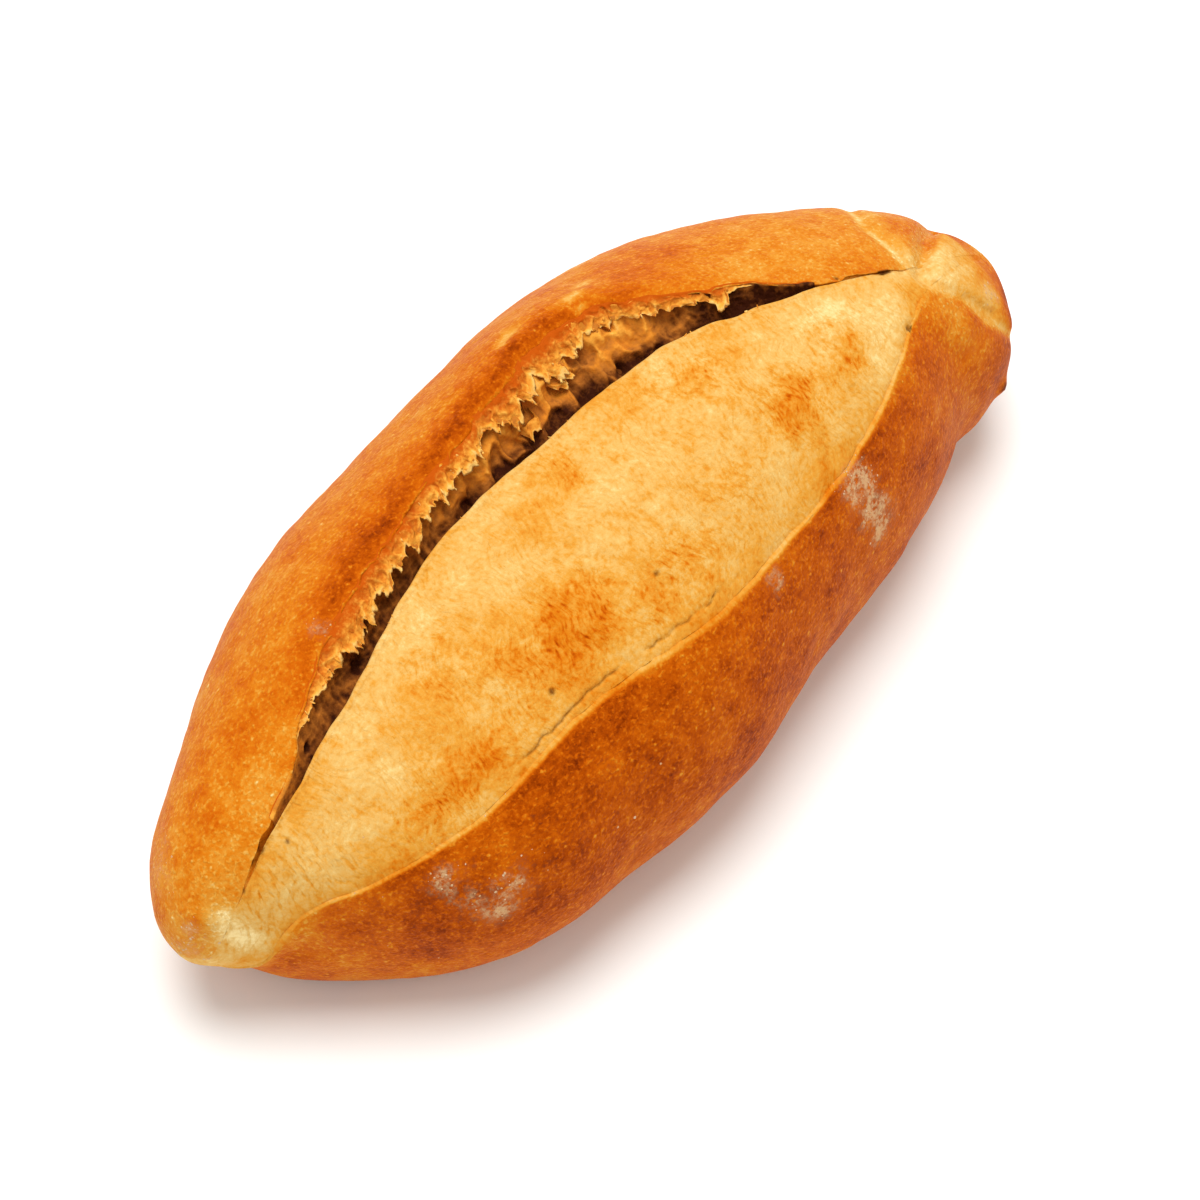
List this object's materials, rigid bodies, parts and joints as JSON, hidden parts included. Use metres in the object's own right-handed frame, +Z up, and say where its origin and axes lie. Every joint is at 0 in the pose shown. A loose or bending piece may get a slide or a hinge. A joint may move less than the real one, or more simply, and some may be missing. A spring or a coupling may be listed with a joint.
{
  "type": "white bread loaf",
  "caption": "Small spindle-shaped crusty white bread loaf, slashed along its top, with a raised ear, an open torn gap, a pale burst belly and a flat base to rest on.",
  "frame": {"origin": "bottom centre of the loaf's box, on the plane that it rests on", "axes": "+X along the loaf, +Y across it towards the raised ear, +Z up"},
  "size_m": [0.17, 0.0772, 0.0522],
  "materials": {
    "crust": "baked golden-brown crust, softly glossy, paler and matt on the burst belly",
    "crumb": "torn amber crumb, matt and open-pored",
    "flour": "dusting flour, dry and matt"
  },
  "bodies": {
    "root": {"loaf": "crust"}
  },
  "joints": []
}
